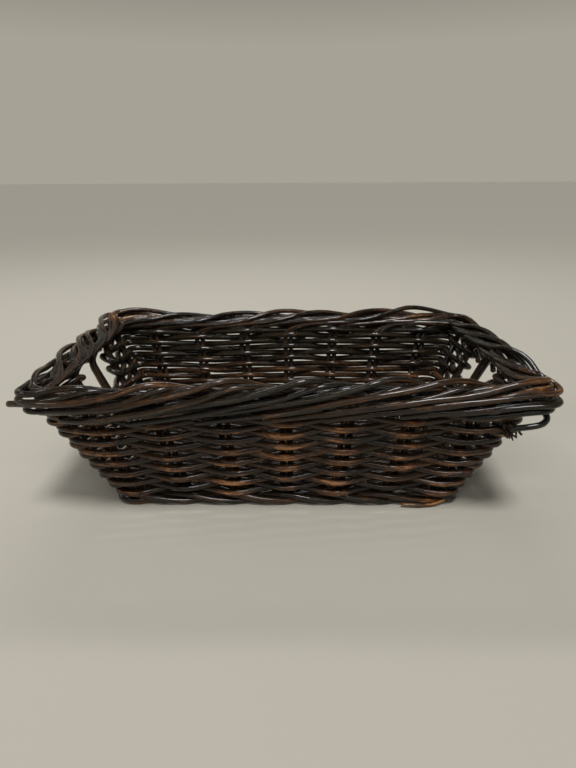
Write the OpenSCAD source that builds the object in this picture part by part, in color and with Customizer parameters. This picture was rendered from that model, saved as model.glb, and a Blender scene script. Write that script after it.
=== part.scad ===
// Woven bread basket: a rectangular tray of round rods with sloping sides, a rolled border and a
// hand-hold in each end wall. Every rod is a piece of its own: the stakes stand in pairs in the base
// and turn down into the border, and the weavers run round them.
// Axes: X along the basket, Y across it, Z up. The origin is the middle of the underside.

/* [Basket] */
// Half length of the stake line at the floor
half_len = 174; // [150:1:200]
// Half width of the stake line at the floor
half_wid = 102; // [90:1:130]
// Outward lean of the end walls, per millimetre of height
end_lean = 0.475; // [0.3:0.005:0.6]
// Outward lean of the long walls, per millimetre of height
side_lean = 0.35; // [0.2:0.01:0.45]
// Radius of the stake line at the corners
corner_r = 9; // [9:1:22]

/* [Stakes] */
// Stake spacing along the long walls at the floor
long_gap = 53; // [48:1:56]
// Growth of that spacing, per millimetre of height
long_fan = 0.085; // [0.04:0.005:0.11]
// Stake spacing along the end walls at the floor
end_gap = 43; // [40:1:46]
// Growth of that spacing, per millimetre of height
end_fan = 0.13; // [0.08:0.005:0.14]
// Thickness of a stake
stake_d = 6; // [5:0.5:6.5]
// Distance between the two stakes of a pair
pair_gap = 8; // [7.5:0.5:10]

/* [Weaving] */
// Thickness of a weaver
weaver_d = 6; // [5:0.5:6]
// Height of the lowest weaver above the floor
first_row = 18; // [17.5:0.5:20]
// Height from one weaver to the next
row_pitch = 7.2; // [7:0.1:8]
// Weavers that run all the way round
full_rows = 11; // [8:1:12]
// Weavers above them that stop at the hand-holds
split_rows = 5; // [3:2:5]

/* [Base] */
// Thickness of the sticks that cross the base
stick_d = 7; // [6:0.5:8]
// Thickness of the rods woven through the sticks
base_rod_d = 5.2; // [4.5:0.1:5.5]
// Number of those rods
base_rods = 29; // [23:2:29]
// Length of a stake's foot beside its stick
foot_len = 36; // [25:1:40]

/* [Border] */
// Half thickness of the border
border_rx = 12.5; // [11.5:0.5:15.5]
// Half height of the border
border_rz = 17; // [14:0.5:18]
// Stake spacings that each border strand passes
border_reach = 5.5; // [4.5:0.5:5.5]

// Distance by which the border is set further in on the end walls
end_inset = 6; // [0:0.5:7]

/* [Hidden] */
LONG_PAIRS = 7;
END_PAIRS = 5;
PAIRS = 2 * (LONG_PAIRS + END_PAIRS);
// Number of the last pair and of the middle pair on each wall: front, right, back, left
LAST = [LONG_PAIRS - 1, LONG_PAIRS + END_PAIRS - 1, 2 * LONG_PAIRS + END_PAIRS - 1, PAIRS - 1];
MID = [for (s = [0:3]) LAST[s] - (s % 2 == 0 ? (LONG_PAIRS - 1) / 2 : (END_PAIRS - 1) / 2)];
SIDE_NAMES = ["front", "right", "back", "left"];
WALES = 3;
SIDES = 5;
BASE_SIDES = 6;

// Distance from the stake line to the middle of a weaver that passes a stake
weave = (stake_d + weaver_d) / 2 + 0.2;
// Half the length that a weaver runs straight over a pair
over_pair = pair_gap / 2 + stake_d / 2 + 1;
// Gap between the two ends of a weaver
end_clear = 1;
top_row = first_row + row_pitch * (full_rows + split_rows - 1);
// Height above the highest weaver at which the stakes turn over into the border
stake_over = 5;
stake_top = top_row + stake_over;

// Radius of the base rods' corners, from the distance between their flats
base_r = base_rod_d / 2 / cos(180 / BASE_SIDES);
stick_z = base_rod_d + stick_d / 2 + 0.1;
base_high = stick_z + stick_d / 2 + 0.1 + base_rod_d / 2;
// Room left for the stakes and the wale between the stake line and the base rods
base_end_room = 9;
base_side_room = 12.4;
base_half_len = half_len - base_end_room;
base_half_wid = half_wid - base_side_room;
// Length of a stick past the outermost base rod
stick_past = 6;
// Length by which a base rod that ends over a stick reaches further than one that ends under it
over_wale = 6.5;

// The border's roll starts just inside the stake line, and its middle is above the stakes' bend
border_inside = 4;
border_lift = 7.5;
border_out = border_rx - border_inside;
border_z = stake_top + border_lift;
// Angles round the roll's middle, from outwards, at which a strand starts and ends
border_start = 190;
border_end = -62;
// Stake spacings that a strand has run at each point of its path
BORDER_STEPS = [0.35, 1, 1.5, 2, 2.5, 3, 3.5, 4, 4.5, 5, 5.5];
// Stake spacings by which the stake nearer the way that the border runs is ahead of the other
border_lead = 0.5;

// Distance from the stake line at which a long wall's stake turns from the base into the wall
foot_bend = 4;
foot_rise = 6;
// Height of the lower end of an end wall's stakes
end_foot = 5;

// Pairs beside the hand-holds, where the upper weavers of each half turn back
FRONT_SPLIT = [MID[3] + 1, PAIRS + MID[1] - 1];
BACK_SPLIT = [MID[1] + 1, MID[3] - 1];

function two(n) = n < 10 ? str("0", n) : str(n);
function weaver_name(r) = str("weaver_", two(r + 1));
function wale_name(m) = str("foot_wale_", m + 1);
function side_of(k) = k <= LAST[0] ? 0 : k <= LAST[1] ? 1 : k <= LAST[2] ? 2 : 3;
function first_of(side) = side == 0 ? 0 : LAST[side - 1] + 1;
function pair_name(k) = str("stakes_", SIDE_NAMES[side_of(k)], "_", k - first_of(side_of(k)) + 1);

// ---- The wall: where the stakes stand at each height ----

function half_x(z) = half_len + end_lean * z;
function half_y(z) = half_wid + side_lean * z;
function long_pitch(z) = long_gap + long_fan * z;
function end_pitch(z) = end_gap + end_fan * z;

// Middle of pair k at height z. Pairs are numbered round the basket from the front left.
function pair_at(k, z) =
    side_of(k) == 0 ? [(k - MID[0]) * long_pitch(z), -half_y(z)] :
    side_of(k) == 1 ? [half_x(z), (k - MID[1]) * end_pitch(z)] :
    side_of(k) == 2 ? [(MID[2] - k) * long_pitch(z), half_y(z)] :
    [-half_x(z), (MID[3] - k) * end_pitch(z)];

function wrap(k) = (k % PAIRS + PAIRS) % PAIRS;
function turns(k) = side_of(k) != side_of(wrap(k + 1));
function corner_at(k, z) =
    let (s = side_of(k)) [(s == 0 || s == 1 ? 1 : -1) * half_x(z), (s == 1 || s == 2 ? 1 : -1) * half_y(z)];

// Lengths of the stretch from pair k to the next: before a corner's arc, the arc, and after it
arc_len = corner_r * PI / 2;
function before_arc(k, z) = norm(corner_at(k, z) - pair_at(k, z)) - corner_r;
function after_arc(k, z) = norm(corner_at(k, z) - pair_at(wrap(k + 1), z)) - corner_r;
function span(k, z) = turns(k)
    ? before_arc(k, z) + arc_len + after_arc(k, z)
    : norm(pair_at(wrap(k + 1), z) - pair_at(k, z));

// Point a distance s past pair k along the stake line, and a distance out from it
function on_wall(k, s, out, z) =
    let (a = pair_at(k, z), b = pair_at(wrap(k + 1), z))
    turns(k)
    ? let (c = corner_at(k, z), d1 = (c - a) / norm(c - a), d2 = (b - c) / norm(b - c),
           l1 = before_arc(k, z), turn = min(max((s - l1) / arc_len, 0), 1) * 90,
           ahead = d1 * cos(turn) + d2 * sin(turn), side = [ahead.y, -ahead.x],
           mid = c - corner_r * d1 + corner_r * d2,
           foot = mid + corner_r * (d1 * sin(turn) - d2 * cos(turn)),
           past = s < l1 ? s - l1 : max(s - l1 - arc_len, 0),
           p = foot + ahead * past + side * out)
        [p.x, p.y, z]
    : let (d = (b - a) / norm(b - a), p = a + d * s + [d.y, -d.x] * out)
        [p.x, p.y, z];

// The same, with the place given as a number of stake spacings round the basket
function at_turn(u, out, z) =
    let (k = floor(u), w = wrap(k)) on_wall(w, (u - k) * span(w, z), out, z);

// ---- Round rods: a ring of points at each point of a path ----

function unit(v) = v / norm(v);
function heading(path, i) = unit(path[min(i + 1, len(path) - 1)] - path[max(i - 1, 0)]);
function sideways(v, along) = unit(v - (v * along) * along);
function frames(path, up, i = 0) =
    i == len(path) ? [] :
    let (next = sideways(up, heading(path, i))) concat([next], frames(path, next, i + 1));

function rod_points(path, r, sides, up) =
    let (ups = frames(path, up))
    [for (i = [0:len(path) - 1])
        let (ahead = heading(path, i), across = cross(ahead, ups[i]))
        for (j = [0:sides - 1])
            let (a = (j + 0.5) * 360 / sides)
            path[i] + r * (ups[i] * cos(a) + across * sin(a))];

function rod_faces(rings, sides, first) = concat(
    [[for (j = [0:sides - 1]) first + j]],
    [[for (j = [sides - 1:-1:0]) first + (rings - 1) * sides + j]],
    [for (i = [0:rings - 2]) for (j = [0:sides - 1])
        let (a = first + i * sides, b = a + sides, next = (j + 1) % sides)
        [a + j, b + j, b + next, a + next]]);

// Index of each rod's first point, when the rods' points follow one another
function firsts(paths, sides, i = 0, sum = 0) =
    i == len(paths) ? [] : concat([sum], firsts(paths, sides, i + 1, sum + len(paths[i]) * sides));

// Several separate rods, each along its own path
module rods(paths, r, sides = SIDES, up = [0, 0, 1]) {
    starts = firsts(paths, sides);
    points = [for (path = paths) each rod_points(path, r, sides, up)];
    faces = [for (i = [0:len(paths) - 1]) each rod_faces(len(paths[i]), sides, starts[i])];
    polyhedron(points, faces, convexity = 10);
}

// ---- Weavers ----

// Outside the wall at one pair, inside it at the next, and the other way round in the next row
function lie(k, row) = (k + row) % 2 == 0 ? weave : -weave;

// Points of a weaver from pair k to the next, as distances past k
function stops(k, z) = let (len = span(k, z)) concat(
    [over_pair],
    turns(k) ? [for (f = [0, 0.5, 1]) before_arc(k, z) + f * arc_len] : [],
    [len - over_pair]);

function slant(k, row, s, z) =
    let (len = span(k, z), f = (s - over_pair) / (len - 2 * over_pair)) lie(k, row) * (1 - 2 * f);

function stretch(k, row, z) = [for (s = stops(k, z)) on_wall(k, s, slant(k, row, s, z), z)];
function backwards(list) = [for (i = [len(list) - 1:-1:0]) list[i]];

// Pair behind which the ends of a full row meet, moved round the basket from row to row
function start_pair(row) = wrap(5 * row + 1);

module weaver(row) {
    z = first_row + row_pitch * row;
    k0 = start_pair(row);
    last = wrap(k0 - 1);
    path = concat(
        [on_wall(k0, end_clear / 2, lie(k0, row), z)],
        [for (i = [0:PAIRS - 1]) each stretch(wrap(k0 + i), row, z)],
        [on_wall(last, span(last, z) - end_clear / 2, lie(k0, row), z)]);
    color("#2b1d17") rods([path], weaver_d / 2);
}

// Upper weavers: one long rod that turns back round the pairs beside the hand-holds
function row_run(row, ends) =
    let (z = first_row + row_pitch * row)
    [for (k = [ends[0]:ends[1] - 1]) each stretch(wrap(k), row, z)];

function turn_back(row, k) =
    let (z = first_row + row_pitch * row, w = wrap(k), out = lie(w, row), tip = over_pair + weaver_d / 2)
    [on_wall(w, over_pair - 1, out, z),
     on_wall(w, tip, 0, z + row_pitch / 2),
     on_wall(w, over_pair - 1, -out, z + row_pitch)];

function turn_forth(row, k) =
    let (z = first_row + row_pitch * row, w = wrap(k), p = wrap(k - 1), out = lie(w, row),
         len = span(p, z), tip = over_pair + weaver_d / 2)
    [on_wall(p, len - over_pair + 1, out, z),
     on_wall(p, len - tip, 0, z + row_pitch / 2),
     on_wall(p, len - over_pair + 1, -out, z + row_pitch)];

module upper_weaver(ends) {
    last = full_rows + split_rows - 1;
    path = [for (row = [full_rows:last])
        let (out = (row - full_rows) % 2 == 0, run = row_run(row, ends))
        each concat(
            out ? run : backwards(run),
            row == last ? [] : out ? turn_back(row, ends[1]) : turn_forth(row, ends[0]))];
    color("#33231b") rods([path], weaver_d / 2);
}

// ---- Foot wale: three rods twisted round the feet of the stakes ----

// Height at which the wale follows the stake line
wale_line = 6;
// Distance out and height at each half spacing of the wale's round of three pairs
WALE = [[weave, 11.4], [8.6, 6.9], [weave, 3.9], [-3, 3.2], [-weave, 3.2], [0.5, 9.2]];
function wale_lie(h) = WALE[(h % 6 + 6) % 6];
function wale_stretch(k, m) =
    let (h = 2 * (k - m), len = span(k, wale_line))
    [for (q = [[over_pair - 1, h], [len / 2, h + 1], [len - over_pair + 1, h + 2]])
        let (lie = wale_lie(q[1]), p = on_wall(k, q[0], lie[0], wale_line))
        [p.x, p.y, lie[1]]];

module foot_wale(m) {
    path = [for (i = [0:PAIRS - 1]) each wale_stretch(wrap(m + 2 + i), m)];
    color("#241812") rods([path], weaver_d / 2);
}

// ---- Base ----

module base_sticks() {
    color("#3a281e")
    for (i = [0:LONG_PAIRS - 1])
        translate([(i - MID[0]) * long_gap, 0, stick_z])
        rotate([90, 0, 0])
        cylinder(h = 2 * (base_half_wid + stick_past), d = stick_d, center = true, $fn = 24);
}

// A base rod lies flat under one stick and over the next, past the feet on both sides of the stick
over_stick = stick_d / 2 + stake_d;
function base_level(i, j) = (i + j) % 2 == 0 ? base_rod_d / 2 : base_high;

// A rod that ends over a stick reaches out over the wale, and one that ends under it stops short
function base_end(i, j) = (i + j) % 2 == 0 ? base_half_len : base_half_len + over_wale;

module base_weavers() {
    gap = 2 * base_half_wid / (base_rods - 1);
    ends = LONG_PAIRS - 1;
    paths = [for (j = [0:base_rods - 1])
        let (y = -base_half_wid + j * gap)
        concat(
            [[-base_end(0, j), y, base_level(0, j)]],
            [for (h = [1:2 * ends])
                let (i = floor(h / 2), side = h % 2 == 0 ? -1 : 1)
                [(i - MID[0]) * long_gap + side * over_stick, y, base_level(i, j)]],
            [[base_end(ends, j), y, base_level(ends, j)]])];
    color("#3a281e") rods(paths, base_r, BASE_SIDES);
}

// ---- Stakes ----

// Distance out and height in the border, after f stake spacings' worth of its roll
function roll(f) =
    let (a = border_start + (border_end - border_start) * (f - 1) / (border_reach - 1))
    [border_out + border_rx * cos(a), border_z + border_rz * sin(a)];
function border_lie(f) = f < 1 ? [roll(1)[0] * f, stake_top + (roll(1)[1] - stake_top) * f] : roll(f);

// The border is set in on an end wall, and half as much on the way round a corner
function inset(u) =
    let (k = wrap(floor(u)))
    turns(k) ? end_inset / 2 : side_of(k) % 2 == 0 ? 0 : end_inset;

function border_run(k, lead, shift) =
    let (last = border_reach - lead)
    [for (t = BORDER_STEPS)
        if (t <= last)
            let (f = t < 1 ? t * (1 + lead) : t + lead, lie = border_lie(f), u = k + shift - t)
            at_turn(u, lie[0] - inset(u) * min(f, 1), lie[1])];

// Foot of a stake on a long wall: along the base beside its stick, then up
function foot(k, side) =
    let (p = pair_at(k, stick_z), along = p.y < 0 ? 1 : -1, x = p.x + side * along * (stick_d + stake_d) / 2)
    [[x, p.y + along * foot_len, stick_z],
     [x, p.y + along * foot_bend, stick_z]];

module stake_pair(k) {
    shift = pair_gap / 2;
    long_wall = side_of(k) % 2 == 0;
    prev = wrap(k - 1);
    paths = [for (side = [-1, 1])
        let (low = long_wall ? stick_z + foot_rise : end_foot,
             spot = function (z) side > 0 ? on_wall(k, shift, 0, z) : on_wall(prev, span(prev, z) - shift, 0, z))
        concat(
            long_wall ? foot(k, side) : [],
            [spot(low), spot(stake_top - stake_d / 3)],
            border_run(k, side < 0 ? border_lead : 0, side * shift / span(k, stake_top)))];
    color("#2f2019") rods(paths, stake_d / 2, SIDES, [0.3, 0.2, 1]);
}

base_sticks();
base_weavers();
for (m = [0:WALES - 1])
    foot_wale(m);
for (r = [0:full_rows - 1])
    weaver(r);
upper_weaver(FRONT_SPLIT);  // upper_weaver_front
upper_weaver(BACK_SPLIT);  // upper_weaver_back
for (k = [0:PAIRS - 1])
    stake_pair(k);
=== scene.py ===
"""The bread basket's looks: every CAD rod is replaced by a round rattan rod along the same way."""

import math

import bpy
import numpy as np
from mathutils import Matrix, Vector


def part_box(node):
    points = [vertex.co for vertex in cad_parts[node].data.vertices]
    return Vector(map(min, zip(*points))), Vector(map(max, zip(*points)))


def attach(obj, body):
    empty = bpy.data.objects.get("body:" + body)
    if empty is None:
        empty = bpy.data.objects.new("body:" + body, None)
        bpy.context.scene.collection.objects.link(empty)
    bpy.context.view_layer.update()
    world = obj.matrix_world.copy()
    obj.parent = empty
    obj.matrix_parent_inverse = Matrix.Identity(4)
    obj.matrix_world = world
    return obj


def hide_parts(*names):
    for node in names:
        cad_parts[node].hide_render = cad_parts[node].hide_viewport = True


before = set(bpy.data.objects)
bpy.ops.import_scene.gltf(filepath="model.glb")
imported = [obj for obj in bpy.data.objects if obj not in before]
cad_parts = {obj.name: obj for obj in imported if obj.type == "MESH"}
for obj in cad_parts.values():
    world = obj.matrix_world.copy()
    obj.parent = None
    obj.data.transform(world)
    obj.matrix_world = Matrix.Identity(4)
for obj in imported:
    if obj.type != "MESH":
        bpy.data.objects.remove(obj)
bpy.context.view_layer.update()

# ---- Counts ----
# Places along the walls are in stake spacings: pair k stands at k, counted round from the front left

LONG_PAIRS, END_PAIRS = 7, 5
PAIRS = 2 * (LONG_PAIRS + END_PAIRS)
WALLS = [("front", LONG_PAIRS), ("right", END_PAIRS), ("back", LONG_PAIRS), ("left", END_PAIRS)]
LAST = [LONG_PAIRS - 1, LONG_PAIRS + END_PAIRS - 1, 2 * LONG_PAIRS + END_PAIRS - 1, PAIRS - 1]
MID = [last - (count - 1) // 2 for last, (_, count) in zip(LAST, WALLS)]
FULL_ROWS, SPLIT_ROWS = 11, 5
ROWS = FULL_ROWS + SPLIT_ROWS
BASE_RODS, STICKS, WALES = 29, 7, 3
# The first random seed of each kind of rod, of the frayed end and of the strands in the border
SEEDS = {"row": 100, "upper": 200, "fray": 250, "fibre": 260, "wale": 300, "peel": 310, "stake": 400,
         "third": 460, "stick": 500, "base": 600, "border": 700}

# ---- Sizes, in metres, as in the part's source ----

MM = 0.001
ROD_R = 3.7 * MM              # the CAD rods are 3 mm, with a clear gap; the real ones are pressed together
STAKE_R = 3.2 * MM
STICK_R = 3.5 * MM
BASE_R, BASE_SEEN_R = 2.6 * MM, 2.95 * MM       # a base rod as it is placed, and as it is built
WEAVE = 6.7 * MM              # from the stake line to the middle of a weaver at a stake
LIE_WAVE, LIE_QUICK = 0.94, 0.06    # its way in and out: a wave, and a quicker one that straightens it
SAG = 2.2 * MM                # a weaver dips where it passes outside, and rises where it passes inside
THICK_BACK = 0.06             # the rods of the back wall are a little thicker than those of the front
BACK_RISE = 0.055             # the rows lie a little wider apart on the back wall
CORNER_BULGE, BULGE_REACH = 5 * MM, 0.3     # a stiff rod swings wide round a corner
PAIR_HALF = 3.9 * MM          # from the middle of a pair to each of its stakes
OVER_PAIR, TURN_BULGE = 8.0 * MM, 3.5 * MM      # how far past a pair an upper weaver turns back
TURN_POINTS = 9
CORNER_R = 9 * MM             # radius of the walls' corners
BORDER_TURN = 12 * MM         # radius of the border's rods at the corners
LONG_GAP, LONG_FAN = 53 * MM, 0.085         # the stake spacing at the floor, and how it grows with height
END_GAP, END_FAN = 43 * MM, 0.13
HALF_LEN, END_LEAN = 174 * MM, 0.475        # the stake line at the floor, and how it moves out with height
HALF_WID, SIDE_LEAN = 102 * MM, 0.35
BEND_ABOVE = 5 * MM           # the stakes bend over this far above the top row
BORDER_ABOVE = 7.5 * MM       # the border's level, above the bend
BASE_CLEAR = 0.1 * MM         # between a stick and the base rods over it


def middle_height(node):
    low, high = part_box(node)
    return (low.z + high.z) / 2


# The rows' heights are read from the lowest and the highest full weaver, and the base's from its sticks
FIRST_ROW = middle_height("weaver_01")
ROW_PITCH = (middle_height(f"weaver_{FULL_ROWS:02d}") - FIRST_ROW) / (FULL_ROWS - 1)
STAKE_TOP = FIRST_ROW + ROW_PITCH * (ROWS - 1) + BEND_ABOVE
STICK_Z = middle_height("base_sticks")
BASE_HIGH = STICK_Z + STICK_R + BASE_R + BASE_CLEAR
BORDER_Z = STAKE_TOP + BORDER_ABOVE

ROW_STEP = 1 / 20             # spacings from one point of a weaver's path to the next
ROW_SHIFT = 5                 # each row's ends lie this many pairs further round than the last row's
LAP, LAP_EASE, LAP_LIFT = 0.12, 0.6, 2.6 * MM   # a row's two ends pass each other, one above the other
FOOT_LEN, FOOT_BEND = 36 * MM, 4 * MM       # where a stake's foot begins and bends up, inside the stake line
FOOT_RISE, END_FOOT = 6 * MM, 5 * MM        # where it starts up the wall: above a stick, on an end wall
WALL_END, WALL_POINTS = 2 * MM, 12          # its way up the wall ends this far below the bend
# How far a base rod's ends stop short of the stake line: those under an outer stick, and those over it
BASE_END_LOW, BASE_END_HIGH = 9 * MM, 2.5 * MM
# A wale rod's distance out from the stake line and height, in millimetres, at each pair and each gap
WALE_LIE = [(6.2, 11.4), (8.6, 6.9), (6.2, 3.9), (-3.0, 3.2), (-6.2, 3.2), (0.5, 9.2)]
WALE_Z = 6 * MM

# ---- The border's shape ----

# A strand's distance out and height above the bend, in millimetres, against the spacings that it has run
RUN = [0.0, 0.35, 1.0, 1.6, 2.0, 2.2, 2.45, 2.7, 2.95, 3.2, 3.7, 4.2, 4.7, 5.2, 5.7]
RUN_OUT = [0.0, -2.0, -4.0, -4.5, -2.5, 0.5, 5.0, 9.0, 13.0, 16.0, 19.0, 20.5, 20.5, 18.0, 13.0]
RUN_UP = [0.0, 7.5, 11.0, 13.0, 16.0, 18.5, 22.0, 23.0, 22.0, 19.5, 14.5, 9.0, 4.0, -1.5, -7.5]
RUN_STEP = 0.05
RUN_STARTS, RUN_ENDS = [0.15, 0.15, 1.0], [5.5, 5.5, 4.9]   # for the three strands of a pair
TIP_LEAD = 0.8                # a strand that leads ends sooner, by this share of its lead
ROLL_OUT, ROLL_UP = 8.5 * MM, 9 * MM        # the middle of the roll
CROSSED = 2.2                 # the run at which a strand counts as crossing over the top
# How far each strand of a pair is round the roll ahead of the first, in spacings, how far it lies outside
# the roll, and how far it lies under the first, on the outer side
STRANDS = [(0.0, 0.8 * MM, 0.0), (0.06, 0.4 * MM, 6.2 * MM), (0.5, -5.5 * MM, 2.0 * MM)]
END_STRANDS = [(0.0, 0.8 * MM, 0.0), (0.2, 0.6 * MM, 3.5 * MM), (0.4, -0.4 * MM, 5.5 * MM)]
SPREAD = (0.7, 2.0)           # the strands of a pair part between these runs
UNDER = (1.9, 2.9)            # a lower strand sinks under the first between these,
UNDER_OUT, UNDER_BACK = 0.45, (2.7, 4.2)    # and moves out by this share of it, and back between these
# The third strand starts outside and above the others' way, and ends further in
TUCK_OUT, TUCK_UP, TUCK_RUN = 7 * MM, 4 * MM, 0.35
THIRD_IN, THIRD_IN_RUN = 5 * MM, (3.0, 3.7)
# How far ahead of the usual way the strands of each pair cross over: listed one by one on the front wall and
# at the corner after it, and by a wave elsewhere
PHASES = [-0.30, -0.36, -0.39, -0.30, -0.19, -0.08, 0.05, 0.25, 0.10]
PHASES += [0.14 * math.sin(2.3 * k) for k in range(len(PHASES), PAIRS)]
# On the front, right, back and left walls: how far a strand arches up as it crosses, how wide and where
ARCHES = [(5.8 * MM, 0.45, 2.62), (-1.5 * MM, 0.30, 2.68), (-0.5 * MM, 0.30, 2.68),
          (-1.0 * MM, 0.30, 2.68)]
END_STEEPER, END_CROSS, END_CROSS_REACH = 0.4, 2.6, 0.55    # the strands cross more steeply on the end walls
# How much a strand's lie, phase, height, distance out and arch vary
VARY_LIFT, VARY_PHASE, VARY_HEIGHT, VARY_OUT, VARY_ARCH = 0.6 * MM, 0.05, 1.6 * MM, 1.2 * MM, 0.25
# How far the border's corners stand out: front right, back right, back left, front left
EARS, EAR_REACH = [1 * MM, 0, 0, -4 * MM], 0.42
# The border is set further in on the end walls: wholly within so many spacings of the middle, then less
END_INSET, INSET_FULL, INSET_NONE = 6 * MM, 1.8, 3.2
# The border sinks towards the front left corner, and rises to a point at the back left one: how far, where
# and over what reach. A strand is moved most at SWELL_RUN, where it crosses over
SWELLS = [(-8 * MM, 22.8, 1.2), (9 * MM, 18.55, 0.5)]
SWELL_RUN, SWELL_REACH = 2.7, 0.9

# One loose strand stands up over the back wall, in a higher and wider arch than the others
RAISED_PAIR, RAISED_ARCH, RAISED_TINT = 15, (5.0 * MM, 0.8, 2.5), 0.1
# One strand is cut off past the front left corner: its tip, and the straight stretch before it
STUB_PAIR, STUB_TIP, STUB_LEN = 4, (-263 * MM, -152 * MM, 133 * MM), 36 * MM
STUB_PARTS = (0.35, 0.7, 1)
# One strand swings out and down in an open loop round the front right corner: how far, where and how wide
LOOP_PAIR, LOOP_OUT, LOOP_DROP = 12, (8 * MM, 6.55, 0.25), (11 * MM, 6.42, 0.3)
# The split fibres of a loose end, and a strip of peeled rind
FRAY_AT, FRAY_SPREAD = (217 * MM, -152 * MM, 109 * MM), (6 * MM, 4 * MM, 4 * MM)
FRAYS, FRAY_R, FRAY_LEN, FRAY_BEND = 44, 0.9 * MM, (4 * MM, 9 * MM), 1.5 * MM
FRAY_WAY, FRAY_FAN = (0.35, -0.35, -0.85), 0.5
PEEL = [(124 * MM, -117.5 * MM, 4.0 * MM), (141 * MM, -119 * MM, 3.2 * MM),
        (158 * MM, -117 * MM, 4.0 * MM), (171 * MM, -111 * MM, 6.5 * MM)]
PEEL_R, PEEL_BARE = 1.7 * MM, 1.8

# ---- How uneven the rods are ----

SIDES_NEAR, SIDES_BASE, SIDES_FRAY = 14, 10, 6
FINE, STEP = 1.0 * MM, 3.0 * MM             # from one point of a path to the next: while eased, as built
WAVES, WAVES_HIGH = (1.0, 0.6, 0.35), 1.3   # shares of the waves in a wandering line, and their usual height
WAVE_LENGTHS, WAVE_LEAST = (0.6, 1.5), 0.4
ANY_PHASE = (0, 6.28)
SWAY_WAVE = 90 * MM           # over this length a rod sways to and fro, by as much as these
WALL_SWAY, FOOT_SWAY, BASE_SWAY = 0.5 * MM, 0.1 * MM, 0.08 * MM
UNEVEN = [(0.02, 60 * MM), (0.012, 14 * MM)]    # by what share a rod's radius wanders, over what length
OVAL, THREE_SIDED = 0.03, 0.012
THICKNESS = (0.94, 1.05)
FLOOR_CLEAR = 1.12            # a rod's middle stays at least this many radii above the floor
STAIN_SHIFT = 3
FIRST_KNOT, KNOT_GAP = (20 * MM, 180 * MM), (110 * MM, 260 * MM)
KNOT_HEIGHT, KNOT_REACH = (0.05, 0.11), 1.6 * MM
RIM_OUT, CUT_MIDDLE_OUT = 0.6 * MM, 0.48 * MM   # how far a cut end's rounded rim and its middle stand out
RIM_SIZE, RIM_STAIN = 0.72, 0.7                 # the rim's size against the rod, in shape and in the stain
# The whole basket leans and bulges by a millimetre or two. For each direction, the waves' heights, how fast
# they run along x, y and z, and their phases
WARP = [[(1.2 * MM, (13, 0, 0), 2.1), (1.6 * MM, (0, 21, 9), 0.6)],
        [(2.4 * MM, (11, 0, 0), 0.8), (1.2 * MM, (27, 0, 8), 1.9)],
        [(1.6 * MM, (14, 0, 0), 0.4), (1.2 * MM, (0, 19, 0), 2.0), (0.8 * MM, (37, 11, 0), 0.0)]]
WARP_HEIGHT, WARP_MOST = 150 * MM, 1.1

# ---- Looks ----

# The stain where it is thick, thin or olive, a painted grey sheen, the stain where it is nearly worn off,
# and the bare cane under it
WEAVER_STAIN_AND_SHEEN = {"dark": (0.0060, 0.0035, 0.0020), "brown": (0.044, 0.0200, 0.0074),
                "olive": (0.022, 0.0155, 0.0056), "grey_sheen": (0.030, 0.024, 0.018),
                "rust": (0.130, 0.053, 0.0190), "bare": (0.47, 0.212, 0.077)}
STAKE_STAIN_AND_SHEEN = {"dark": (0.0050, 0.0034, 0.0023), "brown": (0.042, 0.0200, 0.0080),
               "olive": (0.016, 0.0130, 0.0060), "grey_sheen": (0.033, 0.027, 0.021),
               "rust": (0.110, 0.046, 0.017), "bare": (0.36, 0.19, 0.065)}
BASE_STAIN_AND_SHEEN = {**WEAVER_STAIN_AND_SHEEN, "brown": (0.026, 0.0145, 0.009), "rust": (0.06, 0.026, 0.012)}
GROOVE, CUT_CANE = (0.004, 0.003, 0.0025), (0.09, 0.05, 0.025)
COAT, BASE_COAT, COAT_ROUGH = 0.55, 0.12, 0.08
RELIEF = 0.9 * MM
# Noises: how fast each changes along a rod and across it, per metre, its detail and its roughness
GRAIN = {"fibre": (50, 1300, 3.0, 0.6), "streak": (16, 330, 4.0, 0.6), "blotch": (45, 120, 4.0, 0.65),
         "drift": (11, 30, 2.0, 0.6), "crack": (240, 260, 3.0, 0.6), "fleck": (150, 330, 4.0, 0.65),
         "line": (12, 620, 2.0, 0.6)}

# Places that are worn through to the cane: middle, reach and strength
WORN_SPOTS = [((-0.012, -0.144, 0.094), 0.020, 0.90), ((0.000, -0.140, 0.079), 0.022, 1.00),
              ((-0.020, -0.135, 0.065), 0.018, 0.90), ((0.005, -0.133, 0.058), 0.020, 0.70),
              ((-0.064, -0.123, 0.030), 0.022, 0.75), ((-0.066, -0.129, 0.046), 0.016, 0.60),
              ((0.047, -0.145, 0.093), 0.016, 0.55), ((0.049, -0.134, 0.063), 0.018, 0.60),
              ((0.047, -0.122, 0.027), 0.018, 0.60), ((0.138, -0.131, 0.053), 0.022, 0.60),
              ((0.113, -0.145, 0.094), 0.016, 0.50), ((-0.017, -0.162, 0.125), 0.014, 0.90),
              ((0.248, -0.163, 0.144), 0.018, 0.80), ((0.196, -0.174, 0.143), 0.014, 0.40),
              ((0.150, -0.114, 0.005), 0.022, 0.60), ((0.185, 0.150, 0.153), 0.024, 0.80),
              ((-0.237, 0.147, 0.152), 0.020, 0.80), ((-0.189, 0.165, 0.152), 0.024, 0.60)]
# How far from the stake line the faint wear starts and is full: outside a wall, inside it, on the border
RUB_OUTSIDE, RUB_INSIDE, RUB_ROLL = (4 * MM, 9.5 * MM), (5 * MM, 9.5 * MM), (20 * MM, 28 * MM)
RUB_CREST, RUB_BASE = (8 * MM, 17 * MM), 3 * MM     # and how far above the border's and the base's level
INSIDE_SHARE, FOOT_SHARE, CREST_SHARE, ROLL_SHARE, BASE_SHARE = 0.5, 0.45, 0.6, 0.8, 0.5

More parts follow.
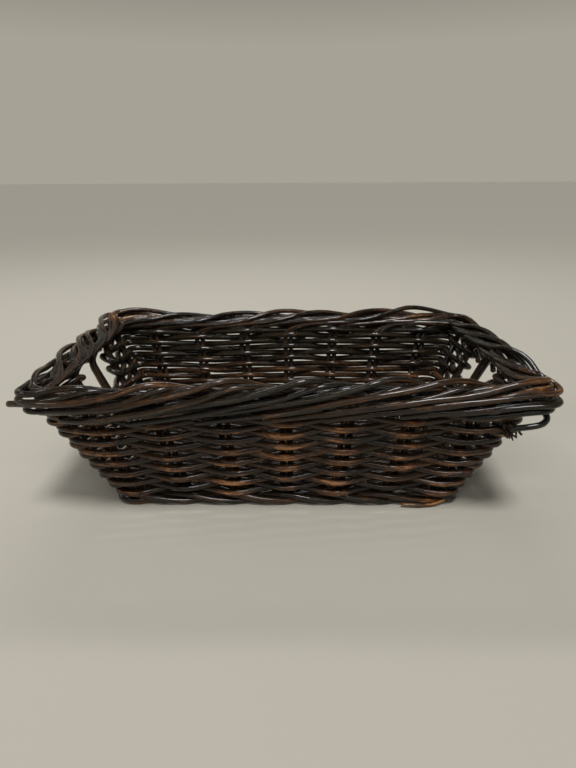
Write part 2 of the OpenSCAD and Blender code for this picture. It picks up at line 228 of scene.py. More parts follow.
FLOOR_HALF, FLOOR_COLOUR, FLOOR_ROUGH = 40.0, (0.52, 0.49, 0.415), 0.8
SKY = [(0.18, (0.385, 0.362, 0.303)), (0.42, (0.05, 0.05, 0.05))]       # height and colour, low and high
SUN_TOWARD, SUN_STRENGTH, SUN_WIDTH = (0.1, -0.48, 1.0), 2.0, math.radians(14)
# Long, thin lamps: where each stands, what it looks at, its length and height, and its power
LAMPS = {"key": ((0.15, -2.2, 1.9), (0, 0, 0.08), (2.2, 0.12), 12),
         "back": ((-0.2, 1.3, 1.7), (0, 0, 0.1), (1.5, 0.2), 10),
         "side": ((-1.9, -0.3, 1.5), (0, 0, 0.08), (1.0, 0.2), 6)}
# The camera's place, its lens and sensor in millimetres, and its angles
CAMERA_PLACE, LENS, SENSOR = (0.0093, -0.6877, 0.3375), 28.125, 36.0
PITCH, YAW, ROLL = math.radians(19.0), math.radians(0.74), math.radians(-0.28)


# ---- Curves ----

def rise(x, low, high):
    """How far x has come from low to high, from 0 to 1."""
    return np.clip((x - low) / (high - low), 0, 1)


def ease(x, low, high):
    """The same, but starting and stopping gently."""
    part = rise(x, low, high)
    return part * part * (3 - 2 * part)


def hump(x, middle, reach):
    """1 at the middle, falling to 0 about twice reach away."""
    return math.exp(-((x - middle) / reach) ** 2)


def past_place(u, place):
    """How far u lies past a place on the wall line, in spacings, the short way round."""
    return (u - place + PAIRS / 2) % PAIRS - PAIRS / 2


def past_corner(u, last):
    """How far u lies past the corner that comes after a wall's last pair."""
    return past_place(u - 0.5, last)


# ---- The wall line ----

def side_of(k):
    """The number of pair k's wall: 0 front, 1 right, 2 back, 3 left."""
    return next(s for s in range(4) if k <= LAST[s])


def half_x(z):
    return HALF_LEN + END_LEAN * z


def half_y(z):
    return HALF_WID + SIDE_LEAN * z


def pair_at(k, z):
    """Where the middle of pair k meets the stake line at height z."""
    side = side_of(k)
    if side == 0:
        return np.array([(k - MID[0]) * (LONG_GAP + LONG_FAN * z), -half_y(z)])
    if side == 1:
        return np.array([half_x(z), (k - MID[1]) * (END_GAP + END_FAN * z)])
    if side == 2:
        return np.array([(MID[2] - k) * (LONG_GAP + LONG_FAN * z), half_y(z)])
    return np.array([-half_x(z), (MID[3] - k) * (END_GAP + END_FAN * z)])


def corner_at(k, z):
    side = side_of(k)
    return np.array([half_x(z) * (1 if side in (0, 1) else -1), half_y(z) * (1 if side in (1, 2) else -1)])


def span(k, z):
    """Length from pair k to the next along the wall line, and those before and after a corner's arc."""
    a, b = pair_at(k, z), pair_at((k + 1) % PAIRS, z)
    if side_of(k) == side_of((k + 1) % PAIRS):
        return np.linalg.norm(b - a), None, None
    c = corner_at(k, z)
    before, after = np.linalg.norm(c - a) - CORNER_R, np.linalg.norm(b - c) - CORNER_R
    return before + after + CORNER_R * math.pi / 2, before, after


def tight_corner(corner, ahead, sideways, part, out, tight):
    """Point at a part (0 to 1) of a corner whose sides run straight up to a turn of radius tight."""
    reach = CORNER_R + out
    rho = min(tight, reach)
    walked = part * (2 * (reach - rho) + rho * math.pi / 2)
    tip = corner + out * (ahead - sideways)
    swing = min(max((walked - reach + rho) / rho, 0), math.pi / 2)
    if walked < reach - rho:
        return tip - ahead * (reach - walked)
    if swing < math.pi / 2:
        swung = ahead * math.sin(swing) - sideways * math.cos(swing)
        return tip - ahead * rho + sideways * rho + rho * swung
    return tip + sideways * (walked - (reach - rho) - rho * math.pi / 2 + rho)


def on_wall(k, s, out, z, tight=None):
    """Point a length s past pair k on the wall line, moved out from the wall by out.

    With tight, a corner is straight up to a turn of that radius."""
    a, b = pair_at(k, z), pair_at((k + 1) % PAIRS, z)
    _, before, _ = span(k, z)
    if before is None:
        d = (b - a) / np.linalg.norm(b - a)
        p = a + d * s + np.array([d[1], -d[0]]) * out
        return (p[0], p[1], z)
    c = corner_at(k, z)
    d1, d2 = (c - a) / np.linalg.norm(c - a), (b - c) / np.linalg.norm(b - c)
    arc = CORNER_R * math.pi / 2
    if tight and before < s < before + arc:
        p = tight_corner(c, d1, d2, (s - before) / arc, out, tight)
        return (p[0], p[1], z)
    turn = min(max((s - before) / arc, 0), 1) * math.pi / 2
    ahead = d1 * math.cos(turn) + d2 * math.sin(turn)
    middle = c - CORNER_R * d1 + CORNER_R * d2
    foot = middle + CORNER_R * (d1 * math.sin(turn) - d2 * math.cos(turn))
    past = s - before if s < before else max(s - before - arc, 0)
    p = foot + ahead * past + np.array([ahead[1], -ahead[0]]) * out
    return (p[0], p[1], z)


def at_turn(u, out, z, tight=None):
    """Point at u spacings round the wall line, moved out by out."""
    k = math.floor(u)
    w = k % PAIRS
    return on_wall(w, (u - k) * span(w, z)[0], out, z, tight)


# ---- Paths ----

def resample(points, step):
    """Points along the same path, evenly about step apart."""
    points = np.asarray(points, float)
    s = np.r_[0, np.cumsum(np.linalg.norm(np.diff(points, axis=0), axis=1))]
    keep = np.r_[True, np.diff(s) > 1e-7]
    s, points = s[keep], points[keep]
    at = np.linspace(0, s[-1], max(int(s[-1] / step), 2) + 1)
    return np.stack([np.interp(at, s, points[:, i]) for i in range(3)], axis=1)


def smooth(points, reach):
    """The path with its bends eased over about reach metres. Its two ends stay where they are."""
    path = resample(points, FINE)
    n = max(int(2.5 * reach / FINE), 1)
    weights = np.exp(-0.5 * (np.arange(-n, n + 1) * FINE / reach) ** 2)
    weights /= weights.sum()
    before = 2 * path[0] - path[n:0:-1] if len(path) > n else np.repeat(path[:1], n, 0)
    after = 2 * path[-1] - path[-2:-n - 2:-1] if len(path) > n else np.repeat(path[-1:], n, 0)
    padded = np.concatenate([before, path, after])
    return np.stack([np.convolve(padded[:, i], weights, "valid") for i in range(3)], axis=1)


def wander(rng, s, size, wave):
    """A smooth random line over lengths s, about size high, with bends about wave apart."""
    total = np.zeros_like(s)
    for share in WAVES:
        length = wave * rng.uniform(*WAVE_LENGTHS) * (WAVE_LEAST + share)
        total += share * np.sin(2 * math.pi * s / length + rng.uniform(*ANY_PHASE))
    return size * total / WAVES_HIGH


def spline(points, per=8):
    """A smooth line through the points (Catmull-Rom)."""
    p = np.asarray(points, float)
    p = np.concatenate([[2 * p[0] - p[1]], p, [2 * p[-1] - p[-2]]])
    out = []
    for i in range(1, len(p) - 2):
        for t in np.arange(per) / per:
            out.append(0.5 * (2 * p[i] + (p[i + 1] - p[i - 1]) * t
                              + (2 * p[i - 1] - 5 * p[i] + 4 * p[i + 1] - p[i + 2]) * t ** 2
                              + (3 * p[i] - p[i - 1] - 3 * p[i + 1] + p[i + 2]) * t ** 3))
    out.append(p[-2])
    return np.array(out)


# ---- Rods ----

def directions(path):
    """The directions ahead, up and across at each point of a path. Up and across don't twist round it."""
    ahead = np.gradient(path, axis=0)
    ahead /= np.linalg.norm(ahead, axis=1)[:, None]
    up = np.array([0.31, 0.17, 0.93])       # no rod starts in this direction
    ups = np.empty_like(path)
    for i, way in enumerate(ahead):
        up = up - (up @ way) * way
        up /= np.linalg.norm(up)
        ups[i] = up
    return ahead, ups, np.cross(ahead, ups)


def radius_along(path, s, radius, rng):
    """The rod's radius at each point: a little uneven, larger on the back wall, with knots."""
    r = radius * (1 + wander(rng, s, *UNEVEN[0]) + wander(rng, s, *UNEVEN[1]))
    r = r * (1 + THICK_BACK * np.clip(path[:, 1] / HALF_WID, -1, 1))
    at = rng.uniform(*FIRST_KNOT)
    while at < s[-1]:
        r = r + radius * rng.uniform(*KNOT_HEIGHT) * np.exp(-((s - at) / KNOT_REACH) ** 2)
        at += rng.uniform(*KNOT_GAP)
    return r


def rod_faces(n, sides):
    """Faces of a tube of n rings, and of the rim and the middle point that close each of its ends."""
    j = np.arange(sides)
    nxt = (j + 1) % sides
    i = np.arange(n - 1)[:, None] * sides
    tube = np.stack([i + j, i + nxt, i + sides + nxt, i + sides + j], axis=2).reshape(-1, 4)
    last, rim0, rim1 = (n - 1) * sides, n * sides, (n + 1) * sides
    quads = np.concatenate([tube,
                            np.stack([rim0 + j, rim0 + nxt, nxt, j], axis=1),
                            np.stack([last + j, last + nxt, rim1 + nxt, rim1 + j], axis=1)])
    middle = np.full(sides, rim1 + sides)
    tris = np.concatenate([np.stack([rim0 + nxt, rim0 + j, middle], axis=1),
                           np.stack([rim1 + j, rim1 + nxt, middle + 1], axis=1)])
    return quads, tris


def rod_mesh(path, radius, rng, sides, tint, spot):
    """Points, faces and attribute values of one rod: slightly oval, a little uneven, with cut ends."""
    n = len(path)
    s = np.r_[0, np.cumsum(np.linalg.norm(np.diff(path, axis=0), axis=1))]
    ahead, ups, across = directions(path)
    r = radius_along(path, s, radius, rng)
    angle = np.arange(sides) * 2 * math.pi / sides
    oval = 1 + OVAL * np.cos(2 * angle + rng.uniform(*ANY_PHASE))
    oval = oval + THREE_SIDED * np.cos(3 * angle + rng.uniform(*ANY_PHASE))
    turned = angle[None, :, None]
    ring = ups[:, None, :] * np.cos(turned) + across[:, None, :] * np.sin(turned)
    body = path[:, None, :] + ring * (r[:, None] * oval[None, :])[:, :, None]
    rims, middles = [], []
    for i, sign in ((0, -1), (n - 1, 1)):
        rims.append(path[i] + sign * ahead[i] * RIM_OUT + ring[i] * (r[i] * RIM_SIZE))
        middles.append(path[i] + sign * ahead[i] * CUT_MIDDLE_OUT)
    points = np.concatenate([body.reshape(-1, 3), *rims, middles])
    quads, tris = rod_faces(n, sides)

    # Where each point lies along and across the rod, shifted so that no two rods have the same stain
    shift = rng.uniform(-STAIN_SHIFT, STAIN_SHIFT)
    round_rod = np.stack([np.zeros(sides), np.cos(angle), np.sin(angle)], axis=1) * radius
    along = np.stack([s, np.zeros(n), np.zeros(n)], axis=1)
    rod_co = np.concatenate([(along[:, None, :] + round_rod).reshape(-1, 3), round_rod * RIM_STAIN,
                             round_rod * RIM_STAIN + along[-1], along[[0, -1]]]) + [shift, shift, 0]
    cut = np.r_[np.zeros(n * sides), np.ones(2 * sides + 2)]
    return {"points": points, "quads": quads, "tris": tris, "rod_co": rod_co, "cut": cut,
            "tint": np.full(len(points), tint), "spot": np.full(len(points), spot)}


def build_rod(points, radius, seed, reach=3 * MM, sides=SIDES_NEAR, sway=0.25 * MM, tint=None, spot=0.0):
    """A rod along the points, with its bends eased over reach and its way swaying by sway."""
    rng = np.random.default_rng(seed)
    path = smooth(points, reach)
    s = np.arange(len(path)) * FINE
    for axis in range(3):
        path[:, axis] += wander(rng, s, sway, SWAY_WAVE)
    path = resample(path, STEP)
    path[:, 2] = np.maximum(path[:, 2], radius * FLOOR_CLEAR)
    thickness, own_tint = rng.uniform(*THICKNESS), rng.uniform(0, 1)
    return rod_mesh(path, radius * thickness, rng, sides, own_tint if tint is None else tint, spot)


def warp(points):
    """The basket is handmade: the whole of it leans and bulges, the more the higher up."""
    moved = [sum(size * np.sin(points @ np.array(rate) + phase) for size, rate, phase in waves)
             for waves in WARP]
    return points + np.stack(moved, axis=1) * np.clip(points[:, 2:] / WARP_HEIGHT, 0, WARP_MOST)


def make_piece(name, rods, nodes, material, rub):
    """One named piece made of separate rods. rub(points) says how exposed each point is, from 0 to 1."""
    def joined(key):
        return np.concatenate([rod[key] for rod in rods])

    faces = []
    for key in ("quads", "tris"):
        first = 0
        for rod in rods:
            faces += (rod[key] + first).tolist()
            first += len(rod["points"])
    points = joined("points")
    values = {"cut": joined("cut"), "tint": joined("tint"), "rub": rub(points),
              "spot": np.maximum(worn_spots(points), joined("spot"))}
    mesh = bpy.data.meshes.new(name)
    mesh.from_pydata(warp(points).tolist(), [], faces)
    mesh.polygons.foreach_set("use_smooth", [True] * len(mesh.polygons))
    for key, value in values.items():
        mesh.attributes.new(key, "FLOAT", "POINT").data.foreach_set("value", value.astype(np.float32))
    mesh.attributes.new("rod_co", "FLOAT_VECTOR", "POINT").data.foreach_set(
        "vector", joined("rod_co").astype(np.float32).ravel())
    mesh.materials.append(material)
    mesh.update()
    obj = bpy.data.objects.new(name, mesh)
    bpy.context.scene.collection.objects.link(obj)
    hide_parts(*nodes)
    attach(obj, "root")
    return obj


# ---- Material ----

def rattan(name, stain_and_sheen, gloss, coat):
    """Dark stained rattan: the stain varies along each rod, carries a painted grey sheen in some streaks,
    and is rubbed through where the rod bulges.
    """
    mat = bpy.data.materials.new(name)
    mat.use_nodes = True
    tree = mat.node_tree
    tree.nodes.clear()
    add, link = tree.nodes.new, tree.links.new

    def attribute(key):
        node = add("ShaderNodeAttribute")
        node.attribute_name = key
        return node

    def noise(along, across, detail, rough):
        mapping = add("ShaderNodeMapping")
        mapping.inputs["Scale"].default_value = (along, across, across)
        link(attribute("rod_co").outputs["Vector"], mapping.inputs["Vector"])
        node = add("ShaderNodeTexNoise")
        node.inputs["Scale"].default_value = 1.0
        node.inputs["Detail"].default_value = detail
        node.inputs["Roughness"].default_value = rough
        link(mapping.outputs["Vector"], node.inputs["Vector"])
        return node.outputs["Fac"]

    def total(*terms, start=0.0):
        """start and every term's value times its weight."""
        value_so_far = start
        for value, weight in terms:
            node = add("ShaderNodeMath")
            node.operation = "MULTIPLY_ADD"
            link(value, node.inputs[0])
            node.inputs[1].default_value = weight
            if isinstance(value_so_far, float):
                node.inputs[2].default_value = value_so_far
            else:
                link(value_so_far, node.inputs[2])
            value_so_far = node.outputs[0]
        return value_so_far

    def ramp(value, low, high):
        node = add("ShaderNodeMapRange")
        node.interpolation_type = "SMOOTHSTEP"
        node.inputs["From Min"].default_value = low
        node.inputs["From Max"].default_value = high
        link(value, node.inputs["Value"])
        return node.outputs["Result"]

    def mix(factor, most, a, b):
        """From a towards b: as far as most where factor is 1."""
        node = add("ShaderNodeMix")
        node.data_type = "RGBA"
        link(total((factor, most)), node.inputs["Factor"])
        for socket, value in ((node.inputs["A"], a), (node.inputs["B"], b)):
            if isinstance(value, tuple):
                socket.default_value = (*value, 1)
            else:
                link(value, socket)
        return node.outputs["Result"]

    tint, rub, spot, cut = [attribute(key).outputs["Fac"] for key in ("tint", "rub", "spot", "cut")]
    grain = {key: noise(*sizes) for key, sizes in GRAIN.items()}
    blotch, streak = grain["blotch"], grain["streak"]

    # The stain: near black, thinner and browner in places, with an olive cast on some rods, and a painted
    # grey sheen along some streaks
    thin = total((tint, 0.45), (grain["drift"], 0.75))
    colour = mix(ramp(thin, 0.40, 0.90), 1.0, stain_and_sheen["dark"], stain_and_sheen["brown"])
    cast = total((tint, -0.5), (grain["drift"], 1.0))
    colour = mix(ramp(cast, 0.18, 0.42), 0.6, colour, stain_and_sheen["olive"])
    # Painted sheen: grey along the lighter streaks stands in for the coat's dull highlights
    colour = mix(ramp(streak, 0.56, 0.78), 0.7, colour, stain_and_sheen["grey_sheen"])
    colour = mix(ramp(streak, 0.50, 0.34), 0.8, colour, GROOVE)
    # Worn patches, where a rod bulges or is marked as worn and the stain has come off along the fibres
    worn = total((rub, 0.27), (spot, 0.27), (blotch, 0.75), (grain["fleck"], 0.70), (streak, 1.2),
                 (tint, 0.2), start=-0.7)
    colour = mix(ramp(worn, 0.92, 1.12), 0.85, colour, stain_and_sheen["rust"])
    bald = ramp(total((worn, 1.0), (grain["fibre"], 0.7), start=-0.35), 1.17, 1.30)
    colour = mix(bald, 0.9, colour, stain_and_sheen["bare"])
    colour = mix(cut, 0.6, colour, CUT_CANE)

    # Glossy where the stain lies smooth, duller where it is blotched, streaked or worn
    rough = total((ramp(blotch, 0.42, 0.66), 0.14), (ramp(streak, 0.45, 0.75), 0.12), (bald, 0.2),
                  start=gloss)
    height = total((grain["fibre"], 0.55), (streak, 1.3), (grain["line"], 1.8),
                   (ramp(grain["crack"], 0.35, 0.6), 0.35), (bald, -0.25))
    bump = add("ShaderNodeBump")
    bump.inputs["Strength"].default_value = 1.0
    bump.inputs["Distance"].default_value = RELIEF
    link(height, bump.inputs["Height"])

    shader = add("ShaderNodeBsdfPrincipled")
    shader.inputs["Specular IOR Level"].default_value = 0.10
    shader.inputs["IOR"].default_value = 1.5
    shader.inputs["Coat Weight"].default_value = coat
    shader.inputs["Coat Roughness"].default_value = COAT_ROUGH
    link(colour, shader.inputs["Base Color"])
    link(rough, shader.inputs["Roughness"])
    link(bump.outputs["Normal"], shader.inputs["Normal"])
    out = add("ShaderNodeOutputMaterial")
    link(shader.outputs["BSDF"], out.inputs["Surface"])
    return mat


weaver_look = rattan("stained_rattan_weavers", WEAVER_STAIN_AND_SHEEN, 0.20, COAT)
stake_look = rattan("stained_rattan_stakes", STAKE_STAIN_AND_SHEEN, 0.18, COAT)
base_look = rattan("stained_rattan_base", BASE_STAIN_AND_SHEEN, 0.38, BASE_COAT)


# ---- Wear ----

def worn_spots(points):
    """How worn each point is by the nearest of the worn places."""
    total = np.zeros(len(points))
    for middle, reach, strength in WORN_SPOTS:
        total = np.maximum(total, strength * np.exp(-np.sum((points - middle) ** 2, axis=1) / reach ** 2))
    return total


def outward(points):
    """How far each point stands out from the stake line, in metres, straight out from the nearest wall."""
    x, y, z = np.abs(points[:, 0]), np.abs(points[:, 1]), points[:, 2]
    return np.maximum(x - half_x(z), y - half_y(z))


def rub_wall(points):
    out = outward(points)
    return np.maximum(rise(out, *RUB_OUTSIDE), np.minimum(rise(-out, *RUB_INSIDE), INSIDE_SHARE))


def rub_foot(points):
    return FOOT_SHARE * rub_wall(points)


def rub_border(points):
    crest = rise(points[:, 2] - BORDER_Z, *RUB_CREST)
    return np.maximum(crest * CREST_SHARE, rise(outward(points), *RUB_ROLL) * ROLL_SHARE)


def rub_base(points):
    return rise(points[:, 2] - BASE_HIGH, 0, RUB_BASE) * BASE_SHARE


# ---- Weavers ----

def lie_shape(u):
    """A weaver's way round the stakes, from 1 outside one pair to -1 inside the next."""
    return LIE_WAVE * math.cos(math.pi * u) + LIE_QUICK * math.cos(3 * math.pi * u)


def row_z(u, row):
    at_back = (1 - math.cos(2 * math.pi * (u - MID[0]) / PAIRS)) / 2
    return FIRST_ROW + ROW_PITCH * row * (1 + BACK_RISE * at_back)


def row_lie(u, row):
    return lie_shape(u) if row % 2 == 0 else -lie_shape(u)


def weave_point(u, row):
    lie = row_lie(u, row)
    bulge = CORNER_BULGE * sum(hump(past_corner(u, last), 0, BULGE_REACH) for last in LAST)
    return at_turn(u, WEAVE * lie + bulge, row_z(u, row) - SAG * lie)


def full_row(row):
    start = ROW_SHIFT * row + 1
    us = np.arange(start - LAP, start + PAIRS + LAP, ROW_STEP)
    points = [weave_point(u, row) for u in us]
    # The two ends lie one above the other behind a stake
    lift = np.interp(us, [us[0], us[0] + LAP_EASE, us[-1] - LAP_EASE, us[-1]], [-LAP_LIFT, 0, 0, LAP_LIFT])
    return [(p[0], p[1], p[2] + d) for p, d in zip(points, lift)]


def upper_rows(first, last):
    """The rod that runs to and fro over the upper rows, turning back round the pairs first and last."""
    points = []
    for row in range(FULL_ROWS, ROWS):
        run = [weave_point(u, row) for u in np.arange(first, last + 1e-6, ROW_STEP)]
        going = (row - FULL_ROWS) % 2 == 0
        points += run if going else run[::-1]
        if row == ROWS - 1:
            break
        k = last if going else first
        z = row_z(k, row)
        length = span((k if going else k - 1) % PAIRS, z)[0]
        for turn in np.linspace(0, math.pi, TURN_POINTS):
            past = (OVER_PAIR + TURN_BULGE * math.sin(turn)) * (1 if going else -1)
            out = WEAVE * row_lie(k, row) * math.cos(turn)
            points.append(at_turn(k + past / length, out, z + ROW_PITCH * (1 - math.cos(turn)) / 2))
    return points


def wale_path(m):
    """The closed way of foot wale rod m, with a point at every pair and in every gap."""
    points = []
    for i in range(2 * PAIRS):
        out, z = WALE_LIE[(i + 4) % 6]
        x, y, _ = at_turn(m + 2 + i / 2, out * MM, WALE_Z)
        points.append((x, y, z * MM))
    return points + [points[0]]


def frayed_end():
    """Split fibres that hang out of the weave where a weaver's end has come loose."""
    rng = np.random.default_rng(SEEDS["fray"])
    fibres = []
    for i in range(FRAYS):
        start = np.array(FRAY_AT) + rng.uniform(-1, 1, 3) * FRAY_SPREAD
        way = np.array(FRAY_WAY) + rng.uniform(-FRAY_FAN, FRAY_FAN, 3)
        length = rng.uniform(*FRAY_LEN)
        bend = rng.uniform(-FRAY_BEND, FRAY_BEND, 3)
        points = [start, start + way * length * 0.5 + bend, start + way * length]
        seed = SEEDS["fibre"] + i
        fibres.append(build_rod(points, FRAY_R, seed, reach=1 * MM, sides=SIDES_FRAY, sway=0, tint=0.0))
    return fibres


# ---- Stakes and border ----

def border_lie(f, lift=0.0):
    """Distance out and height of a strand that has run f stake spacings, moved out of the roll by lift."""
    out, up = np.interp(f, RUN, RUN_OUT) * MM, np.interp(f, RUN, RUN_UP) * MM
    away = np.array([out - ROLL_OUT, up - ROLL_UP])
    away /= np.linalg.norm(away)
    return out + away[0] * lift, STAKE_TOP + up + away[1] * lift


def ear(u):
    """How far the border stands out in a blunt point at a corner."""
    return sum(size * hump(past_corner(u, last), 0, EAR_REACH) for last, size in zip(LAST, EARS))


def inset(u):
    """The border's set-in: none on a long wall, all of it on an end wall."""
    from_middle = abs((u - MID[1] + PAIRS / 4) % (PAIRS / 2) - PAIRS / 4)
    return END_INSET * ease(from_middle, INSET_NONE, INSET_FULL)


def border_path(k, strand, shift, rng):
    """Way of a strand of pair k in the border, wound round the roll towards the lower pairs."""
    crosses = side_of(int(k - CROSSED) % PAIRS)
    on_end = crosses % 2 == 1
    lead, lift, under = (END_STRANDS if on_end else STRANDS)[strand]
    lift += rng.uniform(-VARY_LIFT, VARY_LIFT)
    phase = PHASES[k] + rng.uniform(-VARY_PHASE, VARY_PHASE)
    higher = rng.uniform(-VARY_HEIGHT, VARY_HEIGHT)
    aside = rng.uniform(-VARY_OUT, VARY_OUT)
    arch, arch_width, crown = ARCHES[crosses]
    arch *= rng.uniform(1 - VARY_ARCH, 1 + VARY_ARCH)
    if k == RAISED_PAIR and strand == 0:
        arch, arch_width, crown = RAISED_ARCH
    start, end = RUN_STARTS[strand], RUN_ENDS[strand] - lead * TIP_LEAD
    points = []
    for t in np.arange(start, end + 0.01, RUN_STEP):
        grown = ease(t, *SPREAD)
        f = t + (lead + phase) * grown
        if on_end:
            f += END_STEEPER * (f - END_CROSS) * hump(f, END_CROSS, END_CROSS_REACH)
        out, z = border_lie(f, lift * grown)
        z += arch * hump(f, crown, arch_width)
        if strand == 2:
            tucked = math.exp(-(t - start) / TUCK_RUN)
            out += TUCK_OUT * tucked - THIRD_IN * rise(f, *THIRD_IN_RUN)
            z += TUCK_UP * tucked
        below = under * rise(f, *UNDER)
        out += UNDER_OUT * below * (1 - rise(f, *UNDER_BACK))
        z -= below
        u = k + shift - t
        for size, place, reach in SWELLS:
            z += size * hump(past_place(u, place), 0, reach) * hump(f, SWELL_RUN, SWELL_REACH)
        if k == LOOP_PAIR and strand == 0:
            out += LOOP_OUT[0] * hump(u, *LOOP_OUT[1:])
            z -= LOOP_DROP[0] * hump(u, *LOOP_DROP[1:])
        out += aside * grown + ear(u) * min(f / 2, 1) - inset(u) * min(f, 1)
        points.append(at_turn(u, out, z + higher * grown, BORDER_TURN))
    return points


def stake_path(k, side, rng):
    """The stake on side -1 or 1 of pair k: its foot, its way up the wall and its strand of the border."""
    points = []
    low = END_FOOT
    if side_of(k) % 2 == 0:
        x, y = pair_at(k, STICK_Z)
        along = 1 if y < 0 else -1
        x += side * along * (STICK_R + ROD_R)
        points += [(x, y + along * FOOT_LEN, STICK_Z), (x, y + along * FOOT_BEND, STICK_Z)]
        low = STICK_Z + FOOT_RISE
    prev = (k - 1) % PAIRS
    for z in np.linspace(low, STAKE_TOP - WALL_END, WALL_POINTS):
        if side > 0:
            points.append(on_wall(k, PAIR_HALF, 0, z))
        else:
            points.append(on_wall(prev, span(prev, z)[0] - PAIR_HALF, 0, z))
    points += border_path(k, 0 if side < 0 else 1, side * PAIR_HALF / span(k, STAKE_TOP)[0], rng)
    if k == STUB_PAIR and side < 0:
        points = [p for p in points if p[0] > STUB_TIP[0] + STUB_LEN]
        last, tip = np.array(points[-1]), np.array(STUB_TIP)
        points += [tuple(last * (1 - w) + tip * w) for w in STUB_PARTS]
    return points


# ---- The pieces ----

def build_rows():
    for row in range(FULL_ROWS):
        node = f"weaver_{row + 1:02d}"
        rod = build_rod(full_row(row), ROD_R, SEEDS["row"] + row, sway=WALL_SWAY)
        make_piece(node + "_rattan", [rod], [node], weaver_look, rub_wall)


def build_upper_rows():
    for name, first, last in (("front", MID[3] + 1, PAIRS + MID[1] - 1), ("back", MID[1] + 1, MID[3] - 1)):
        node = f"upper_weaver_{name}"
        seed = SEEDS["upper"] + first
        rods = [build_rod(upper_rows(first, last), ROD_R, seed, reach=2 * MM, sway=WALL_SWAY)]
        if name == "front":
            rods += frayed_end()
        make_piece(node + "_rattan", rods, [node], weaver_look, rub_wall)


def build_wales():
    for m in range(WALES):
        node = f"foot_wale_{m + 1}"
        rods = [build_rod(spline(wale_path(m)), ROD_R, SEEDS["wale"] + m, reach=2 * MM, sway=FOOT_SWAY)]
        if m == 0:
            rods.append(build_rod(PEEL, PEEL_R, SEEDS["peel"], sides=SIDES_BASE, spot=PEEL_BARE))
        make_piece(node + "_rattan", rods, [node], weaver_look, rub_foot)


def build_pair(node, k):
    """Both stakes of pair k, and the third strand that fills the border beside them."""
    rng = np.random.default_rng(SEEDS["border"] + k)
    rods = []
    for i, side in enumerate((-1, 1)):
        tint = RAISED_TINT if k == RAISED_PAIR and side < 0 else None
        path = stake_path(k, side, rng)
        seed = SEEDS["stake"] + 2 * k + i
        rods.append(build_rod(path, STAKE_R, seed, reach=4 * MM, sway=WALL_SWAY, tint=tint))
    third = border_path(k, 2, 0.0, rng)
    rods.append(build_rod(third, STAKE_R, SEEDS["third"] + k, reach=4 * MM, sway=WALL_SWAY))
    make_piece(node + "_rattan", rods, [node], stake_look, rub_border)


def build_stakes():
    k = 0
    for wall, count in WALLS:
        for i in range(count):
            build_pair(f"stakes_{wall}_{i + 1}", k)
            k += 1


def build_sticks():
    low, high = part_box("base_sticks")
    sticks = []
    for i in range(STICKS):
        x = (i - MID[0]) * LONG_GAP
        ends = [(x, low.y, STICK_Z), (x, 0, STICK_Z), (x, high.y, STICK_Z)]
        sticks.append(build_rod(ends, STICK_R, SEEDS["stick"] + i, sides=SIDES_BASE, sway=FOOT_SWAY))
    make_piece("base_sticks_rattan", sticks, ["base_sticks"], base_look, rub_base)


def build_base_rods():
    """Rods along the base, under one stick and over the next, with a point before and after each stick."""
    half_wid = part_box("base_weavers")[1].y - BASE_R
    rods = []
    for j in range(BASE_RODS):
        y = -half_wid + 2 * half_wid * j / (BASE_RODS - 1)
        points = []
        for i in range(STICKS):
            z = BASE_R if (i + j) % 2 == 0 else BASE_HIGH
            for side in (-1, 1):
                x = (i - MID[0]) * LONG_GAP + side * (STICK_R + 2 * ROD_R)
                if (i, side) in ((0, -1), (STICKS - 1, 1)):
                    x = side * (HALF_LEN - (BASE_END_LOW if z < STICK_Z else BASE_END_HIGH))
                points.append((x, y, z))
        rods.append(build_rod(points, BASE_SEEN_R, SEEDS["base"] + j, sides=SIDES_BASE, sway=BASE_SWAY))
    make_piece("base_weavers_rattan", rods, ["base_weavers"], base_look, rub_base)


# ---- Stage, lights and camera ----

def plain_material(name, colour, roughness):
    mat = bpy.data.materials.new(name)
    mat.use_nodes = True
    shader = mat.node_tree.nodes["Principled BSDF"]
    shader.inputs["Base Color"].default_value = (*colour, 1)
    shader.inputs["Roughness"].default_value = roughness
    return mat


def make_floor():
    half = FLOOR_HALF
    mesh = bpy.data.meshes.new("floor")
    corners = [(-half, -half, 0), (half, -half, 0), (half, half, 0), (-half, half, 0)]
    mesh.from_pydata(corners, [], [(0, 1, 2, 3)])
    mesh.materials.append(plain_material("pale_floor", FLOOR_COLOUR, FLOOR_ROUGH))
    floor = bpy.data.objects.new("floor", mesh)
    bpy.context.scene.collection.objects.link(floor)


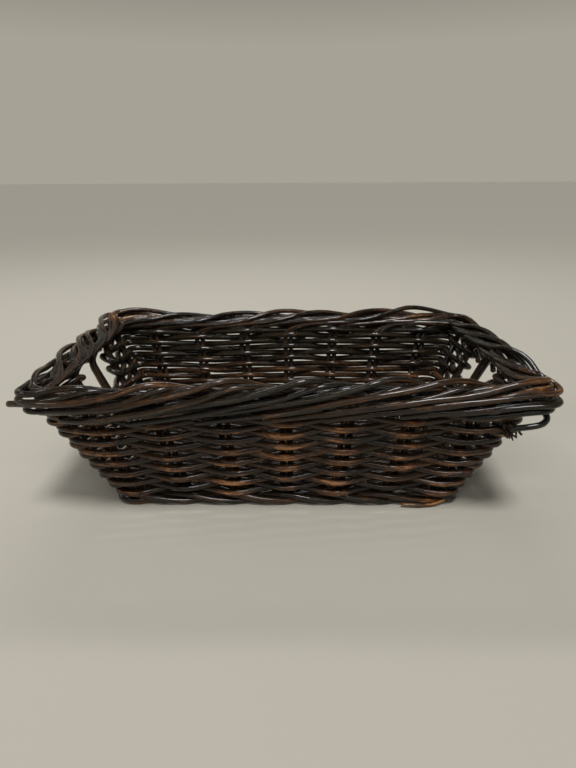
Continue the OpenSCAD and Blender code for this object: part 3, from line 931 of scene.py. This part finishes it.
def area_light(name, place, target, size, power):
    light = bpy.data.lights.new(name, "AREA")
    light.shape = "RECTANGLE"
    light.size, light.size_y = size
    light.energy = power
    obj = bpy.data.objects.new(name, light)
    obj.location = place
    obj.rotation_euler = (Vector(target) - Vector(place)).to_track_quat("-Z", "Y").to_euler()
    bpy.context.scene.collection.objects.link(obj)


def soft_sun():
    """A wide, even light that reaches the whole floor."""
    light = bpy.data.lights.new("sun", "SUN")
    light.energy, light.angle = SUN_STRENGTH, SUN_WIDTH
    obj = bpy.data.objects.new("sun", light)
    obj.rotation_euler = (-Vector(SUN_TOWARD)).to_track_quat("-Z", "Y").to_euler()
    bpy.context.scene.collection.objects.link(obj)


def make_world():
    """A pale backdrop all round, that darkens overhead."""
    world = bpy.data.worlds.new("studio")
    world.use_nodes = True
    tree = world.node_tree
    coord = tree.nodes.new("ShaderNodeTexCoord")
    split = tree.nodes.new("ShaderNodeSeparateXYZ")
    fade = tree.nodes.new("ShaderNodeValToRGB")
    tree.links.new(coord.outputs["Generated"], split.inputs["Vector"])
    tree.links.new(split.outputs["Z"], fade.inputs["Fac"])
    tree.links.new(fade.outputs["Color"], tree.nodes["Background"].inputs["Color"])
    for element, (position, colour) in zip(fade.color_ramp.elements, SKY):
        element.position = position
        element.color = (*colour, 1)
    bpy.context.scene.world = world


def make_camera():
    """A phone held a little above the basket, one arm's length in front of it."""
    data = bpy.data.cameras.new("camera")
    data.lens, data.sensor_width, data.sensor_fit = LENS, SENSOR, "AUTO"
    camera = bpy.data.objects.new("camera", data)
    look = Matrix.Rotation(YAW, 4, "Z") @ Matrix.Rotation(math.pi / 2 - PITCH, 4, "X")
    look = look @ Matrix.Rotation(ROLL, 4, "Z")
    camera.matrix_world = Matrix.Translation(CAMERA_PLACE) @ look
    bpy.context.scene.collection.objects.link(camera)
    bpy.context.scene.camera = camera


build_rows()
build_upper_rows()
build_wales()
build_stakes()
build_sticks()
build_base_rods()

bpy.context.scene.view_settings.view_transform = "Standard"
make_floor()
make_world()
soft_sun()
for lamp, settings in LAMPS.items():
    area_light(lamp, *settings)
make_camera()
